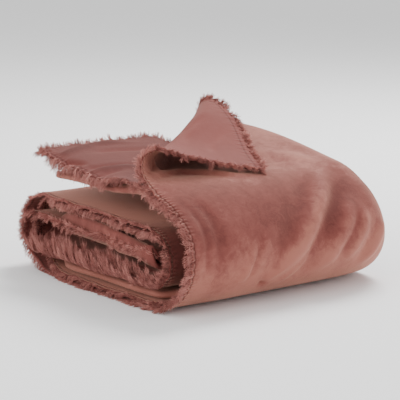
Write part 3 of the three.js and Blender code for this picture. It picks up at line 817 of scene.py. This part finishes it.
def node_group(name, inputs, outputs):
    """Shader group that takes the flat place and named numbers; returns its tree and the two end nodes"""
    tree = bpy.data.node_groups.new(name, "ShaderNodeTree")
    tree.interface.new_socket("Flat", in_out="INPUT", socket_type="NodeSocketVector")
    for label in inputs:
        tree.interface.new_socket(label, in_out="INPUT", socket_type="NodeSocketFloat")
    for label in outputs:
        tree.interface.new_socket(label, in_out="OUTPUT", socket_type="NodeSocketFloat")
    return tree, tree.nodes.new("NodeGroupInput"), tree.nodes.new("NodeGroupOutput")


def place_group(tree, group, inputs):
    return add_node(tree, "ShaderNodeGroup", inputs, node_tree=group)


def noise(tree, vector, scale, detail=3.0, roughness=0.5, distortion=0.0):
    inputs = {"Vector": vector, "Scale": scale, "Detail": detail, "Roughness": roughness,
              "Distortion": distortion}
    return add_node(tree, "ShaderNodeTexNoise", inputs).outputs["Fac"]


def remap(tree, value, low, high, to_low=0.0, to_high=1.0):
    inputs = {"Value": value, "From Min": low, "From Max": high, "To Min": to_low, "To Max": to_high}
    return add_node(tree, "ShaderNodeMapRange", inputs, interpolation_type="SMOOTHSTEP").outputs[0]


def mottle_group():
    """Uneven nap: broad clouds, crushed patches and fine streaks, on the flat cloth"""
    amounts = ["Clouds", "Patches", "Streaks"]
    tree, start, end = node_group("uneven nap", amounts, ["Tone", "Height"])
    flat = start.outputs["Flat"]
    stretched = add_node(tree, "ShaderNodeMapping", {"Vector": flat, "Scale": CLOUD_STRETCH})
    clouds = noise(tree, stretched.outputs[0], **CLOUD_NOISE)
    patches = noise(tree, flat, **PATCH_NOISE)
    streaks = noise(tree, flat, **STREAK_NOISE)
    tone = None
    for value, amount in zip((clouds, patches, streaks), amounts):
        off_mean = math_node(tree, "SUBTRACT", value, NOISE_MEAN)
        part = math_node(tree, "MULTIPLY", off_mean, start.outputs[amount])
        tone = part if tone is None else math_node(tree, "ADD", tone, part)
    tree.links.new(math_node(tree, "ADD", tone, NOISE_MEAN), end.inputs["Tone"])
    fine = math_node(tree, "MULTIPLY", streaks, STREAK_RELIEF)
    tree.links.new(math_node(tree, "MULTIPLY_ADD", patches, PATCH_RELIEF, fine), end.inputs["Height"])
    return tree


def hem_group():
    """Stitch line and fine gathers along every cut edge of the flat cloth"""
    tree, start, end = node_group("stitched hem", [], ["Line", "Height"])
    flat = start.outputs["Flat"]
    across, along = add_node(tree, "ShaderNodeSeparateXYZ", {"Vector": flat}).outputs[:2]
    other = math_node(tree, "SUBTRACT", FLAT_WIDTH * MM, across)
    side = math_node(tree, "MINIMUM", across, other)
    height, line = None, None
    for distance, beside, inset in ((side, along, FRONT_STITCH), (along, across, END_STITCH)):
        off = math_node(tree, "ABSOLUTE", math_node(tree, "SUBTRACT", distance, inset * MM))
        near = remap(tree, off, FINE_GATHER_REACH * MM, 0.0)
        stitched = remap(tree, off, STITCH_REACH * MM, STITCH_FULL * MM)
        drift = noise(tree, flat, **DRIFT_NOISE)
        even_turn = math_node(tree, "MULTIPLY", beside, FINE_GATHER_RATE)
        turn = math_node(tree, "MULTIPLY_ADD", drift, FINE_GATHER_DRIFT, even_turn)
        gather = math_node(tree, "MULTIPLY", math_node(tree, "SINE", turn), near)
        raised = math_node(tree, "MULTIPLY", gather, FINE_GATHER_HEIGHT)
        part = math_node(tree, "SUBTRACT", raised, stitched)
        height = part if height is None else math_node(tree, "ADD", height, part)
        line = stitched if line is None else math_node(tree, "MAXIMUM", line, stitched)
    tree.links.new(line, end.inputs["Line"])
    tree.links.new(height, end.inputs["Height"])
    return tree


def new_material(name):
    material = bpy.data.materials.new(name)
    material.use_nodes = True
    tree = material.node_tree
    return material, tree, tree.nodes["Principled BSDF"]


def tone_colour(tree, tone, colours):
    """Colour by tone: the first two colours take the ramp's own ends, the others are added"""
    ramp = tree.nodes.new("ShaderNodeValToRGB")
    tree.links.new(tone, ramp.inputs[0])
    elements = ramp.color_ramp.elements
    for k, (place, colour) in enumerate(colours):
        element = elements[k] if k < 2 else elements.new(place)
        element.position = place
        element.color = (*colour, 1.0)
    return ramp.outputs[0]


def bump_chain(tree, shader, bumps, heights):
    """Bumps one on another, each from its height, with the distance and strength under its name"""
    normal = {}
    for name, height in heights.items():
        distance, strength = bumps[name]
        inputs = {"Height": height, "Distance": distance, "Strength": strength, **normal}
        normal = {"Normal": add_node(tree, "ShaderNodeBump", inputs).outputs[0]}
    tree.links.new(normal["Normal"], shader.inputs["Normal"])


NAP = mottle_group()
HEM = hem_group()


def dress_side(tree, shader, side):
    """Colour of one side of the cloth, with painted light and shade from its creases and bands; returns
    its flat place, its tone and the heights of nap and hem
    """
    flat = add_node(tree, "ShaderNodeUVMap", uv_map="flat").outputs[0]
    nap = place_group(tree, NAP, {"Flat": flat, **side["amounts"]}).outputs
    hem = place_group(tree, HEM, {"Flat": flat}).outputs
    parts = add_node(tree, "ShaderNodeSeparateXYZ", {"Vector": flat}).outputs
    crease = add_node(tree, "ShaderNodeAttribute", attribute_name="creased").outputs["Fac"]
    # tone follows the crease height: painted shade in crease valleys, painted highlight on ridges
    tone = math_node(tree, "MULTIPLY_ADD", crease, side["crease"], nap["Tone"])
    # painted light and painted shade, band by band, by place on the flat cloth
    for band in side["painted_light_bands"]:
        change = remap(tree, parts[band["axis"]], band["start"], band["end"], 0.0, band["change"])
        tone = math_node(tree, "ADD", tone, change)
    tone = math_node(tree, "ADD", tone, side["lighten"])
    darkest = (*side["colours"][0][1], 1.0)
    mix = {MIX_FACTOR: math_node(tree, "MULTIPLY", hem["Line"], side["stitch"]),
           MIX_FIRST: tone_colour(tree, tone, side["colours"]), MIX_SECOND: darkest}
    stitched = add_node(tree, "ShaderNodeMix", mix, data_type="RGBA").outputs[MIX_RESULT]
    tree.links.new(stitched, shader.inputs["Base Color"])
    return flat, tone, dict(nap=nap["Height"], hem=hem["Height"])


def velvet_finish():
    material, tree, shader = new_material("stonewashed velvet")
    _, tone, heights = dress_side(tree, shader, VELVET_SIDE)
    tree.links.new(remap(tree, tone, **VELVET_ROUGHNESS), shader.inputs["Roughness"])
    shader.inputs["Specular IOR Level"].default_value = 0.12
    shader.inputs["Sheen Weight"].default_value = 0.4
    shader.inputs["Sheen Roughness"].default_value = 0.42
    shader.inputs["Sheen Tint"].default_value = VELVET_SHEEN
    bump_chain(tree, shader, VELVET_BUMPS, heights)
    return material


def lining_finish():
    material, tree, shader = new_material("smooth lining")
    flat, _, heights = dress_side(tree, shader, LINING_SIDE)
    shader.inputs["Roughness"].default_value = 0.8
    shader.inputs["Specular IOR Level"].default_value = 0.15
    shader.inputs["Sheen Weight"].default_value = 0.12
    shader.inputs["Sheen Roughness"].default_value = 0.5
    shader.inputs["Sheen Tint"].default_value = PLAIN_SHEEN
    weave = add_node(tree, "ShaderNodeTexWave", {"Vector": flat, **WEAVE}, bands_direction="DIAGONAL")
    bump_chain(tree, shader, LINING_BUMPS, {**heights, "weave": weave.outputs["Fac"]})
    return material


def fringe_finish():
    material, tree, shader = new_material("frayed threads")
    tone = add_node(tree, "ShaderNodeAttribute", attribute_name="tone").outputs["Fac"]
    tip = add_node(tree, "ShaderNodeAttribute", attribute_name="tip").outputs["Fac"]
    # lighter towards the tips: painted light on the tips, painted shade at the roots
    mixed = math_node(tree, "MULTIPLY_ADD", tip, TIP_PAINTED_LIGHT, math_node(tree, "MULTIPLY", tone, TUFT_TONE))
    tree.links.new(tone_colour(tree, mixed, FRINGE_COLOURS), shader.inputs["Base Color"])
    shader.inputs["Roughness"].default_value = 0.85
    shader.inputs["Specular IOR Level"].default_value = 0.15
    shader.inputs["Sheen Weight"].default_value = 0.15
    shader.inputs["Sheen Tint"].default_value = PLAIN_SHEEN
    return material


def floor_finish():
    material, _, shader = new_material("pale floor")
    shader.inputs["Base Color"].default_value = FLOOR_COLOUR
    shader.inputs["Roughness"].default_value = 0.9
    shader.inputs["Specular IOR Level"].default_value = 0.1
    return material


velvet, lining, fringe = velvet_finish(), lining_finish(), fringe_finish()

# The cloth
ROWS = row_stations()
GRID, FLAT, CREASED = cloth_columns(ROWS)
NORMALS = grid_normals(GRID)
cloth = sheet_piece("throw_cloth", GRID, NORMALS, FLAT * FLAT_WIDTH / FLAT[-1], ROWS, [velvet, lining])
add_values(cloth, "creased", np.tile(CREASED.ravel(), 2))
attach(cloth, "root")
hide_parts("throw")

# The fringe, in pieces that follow the combs of the solids
FACE_COLUMNS = len(HEM_STEPS) + len(even(HEM_STEPS[-1], NOSE_START - HEM_EDGE, FACE_STEP)) - 1
front = rim_line(GRID[0], GRID[1], NORMALS[0], ROWS)
lower = rim_line(GRID[-1], GRID[-2], NORMALS[-1], ROWS)
free_end = rim_line(GRID[:, 0], GRID[:, 1], NORMALS[:, 0], 0 * FLAT)


def row_at(v):
    return int(np.searchsorted(ROWS, v))


def part_of(rim, start, stop):
    return {key: value[start:stop] for key, value in rim.items()}


# How far the threads lean outwards (velvet side) at distances along the roll
OUTER_LIFTS = [(500, 0.4), (700, 0.5), (760, 0.9), (930, 0.8), (1000, 0.5), (1200, 0.4),
               (1320, -0.4), (1590, -0.6), (1680, 0.2), (1960, 0.3)]
LOWER_LIFTS = [(200, 0.2), (480, 0.3), (600, 0.3), (740, -0.2), (930, -0.3), (1000, 0.8), (1200, 0.7),
               (1320, 0.8), (1590, 0.9), (1680, 0.1), (1960, -0.2)]

# Length of the threads and how far their tips sag, by the same distance
LENGTHS = [(200, 11.5), (1300, 11.5), (1370, 16), (1560, 17), (1640, 11.5), (1960, 11.5)]
SAGS = [(200, 0.15), (1200, 0.15), (1330, -0.5), (1590, -0.6), (1690, 0.1), (1960, 0.1)]

# Rows at which one fringe ends and the next begins
FLAP_END_ROW = row_at(206)
NEAR_SIDE_END_ROW = row_at(520)
WING_END_ROW = row_at(200)

FRINGES = [
    ("threads_flap_front", part_of(front, 0, FLAP_END_ROW + 1), "fringe_flap_front",
     dict(per_mm=6.0, length=9.5, seed=11, droop=0.1, lift=-0.3, spread=0.3, depth=3.5)),
    ("threads_near_side", part_of(front, FLAP_END_ROW, NEAR_SIDE_END_ROW + 1), "fringe_front_outer",
     dict(per_mm=6.0, length=11.0, seed=12, droop=0.0, lift=0.15, spread=0.2, depth=3.0)),
    ("threads_front_outer", part_of(front, NEAR_SIDE_END_ROW, None), "fringe_front_outer",
     dict(per_mm=4.0, seed=13, spread=0.45, lifts=OUTER_LIFTS, sags=SAGS, lengths=LENGTHS)),
    ("threads_wing_front", part_of(lower, 0, WING_END_ROW + 1), "fringe_front_lower",
     dict(per_mm=6.0, length=9.5, seed=14, droop=0.7, lift=-0.2, spread=0.35, depth=4.0)),
    ("threads_front_lower", part_of(lower, WING_END_ROW, None), "fringe_front_lower",
     dict(per_mm=4.0, seed=15, spread=0.45, lifts=LOWER_LIFTS, sags=SAGS, lengths=LENGTHS)),
    ("threads_flap_end", part_of(free_end, 0, FACE_COLUMNS), "fringe_flap_end",
     dict(per_mm=6.0, length=9.5, seed=16, droop=0.0, lift=-0.2, spread=0.3, depth=4.0)),
    ("threads_end_lower", part_of(free_end, FACE_COLUMNS - 1, None), "fringe_end_lower",
     dict(per_mm=4.5, length=8.0, seed=17, droop=-0.15, lift=-0.5, spread=0.4, depth=3.0)),
]
threads_made = [threads(name, rim, fringe, node, **habit) for name, rim, node, habit in FRINGES]

# Floor, light and camera, in metres
FLOOR_HALF = 6
WORLD_STRENGTH = 1.05
LAMP_AIM = Vector((0, 0, 0.1))
LAMPS = [
    dict(name="key", place=(1.3, 0.5, 2.0), size=1.1, power=75),
    dict(name="fill", place=(-2.1, -0.4, 1.1), size=1.2, power=22),
    dict(name="low", place=(1.9, -1.5, 0.5), size=1.2, power=18),
]

# Camera of the photograph: its place in millimetres, its turn and dip, its focal length in pixels
CAMERA_PLACE = np.array([-1285.3, -1622.8, 547.2])
CAMERA_AZIMUTH = math.radians(38.48)
CAMERA_DIP = math.radians(10.75)
FOCAL_PIXELS = 1700
FRAME_PIXELS = 400


def place_looking(name, data, place, look):
    """Lamp or camera at a place, turned to look in a direction"""
    placed = bpy.data.objects.new(name, data)
    placed.location = place
    placed.rotation_mode = "QUATERNION"
    placed.rotation_quaternion = look.to_track_quat("-Z", "Y")
    bpy.context.scene.collection.objects.link(placed)
    return placed


def soft_light(name, place, size, power):
    """Square lamp turned to the middle of the throw"""
    data = bpy.data.lights.new(name, "AREA")
    data.size = size
    data.energy = power
    place_looking(name, data, place, LAMP_AIM - Vector(place))


floor_mesh = bpy.data.meshes.new("floor")
floor_corners = [(-FLOOR_HALF, -FLOOR_HALF, 0), (FLOOR_HALF, -FLOOR_HALF, 0),
                 (FLOOR_HALF, FLOOR_HALF, 0), (-FLOOR_HALF, FLOOR_HALF, 0)]
floor_mesh.from_pydata(floor_corners, [], [(0, 1, 2, 3)])
floor_mesh.materials.append(floor_finish())
floor = bpy.data.objects.new("floor", floor_mesh)
bpy.context.scene.collection.objects.link(floor)

world = bpy.data.worlds.new("studio")
bpy.context.scene.world = world
world.use_nodes = True
world.node_tree.nodes["Background"].inputs["Color"].default_value = (1.0, 1.0, 1.0, 1.0)
world.node_tree.nodes["Background"].inputs["Strength"].default_value = WORLD_STRENGTH

for lamp in LAMPS:
    soft_light(**lamp)

camera_data = bpy.data.cameras.new("camera")
camera_data.lens = camera_data.sensor_width * FOCAL_PIXELS / FRAME_PIXELS
ahead = math.cos(CAMERA_DIP)
look = Vector((math.sin(CAMERA_AZIMUTH) * ahead, math.cos(CAMERA_AZIMUTH) * ahead, -math.sin(CAMERA_DIP)))
camera = place_looking("camera", camera_data, Vector(to_part(CAMERA_PLACE)), look)
bpy.context.scene.camera = camera
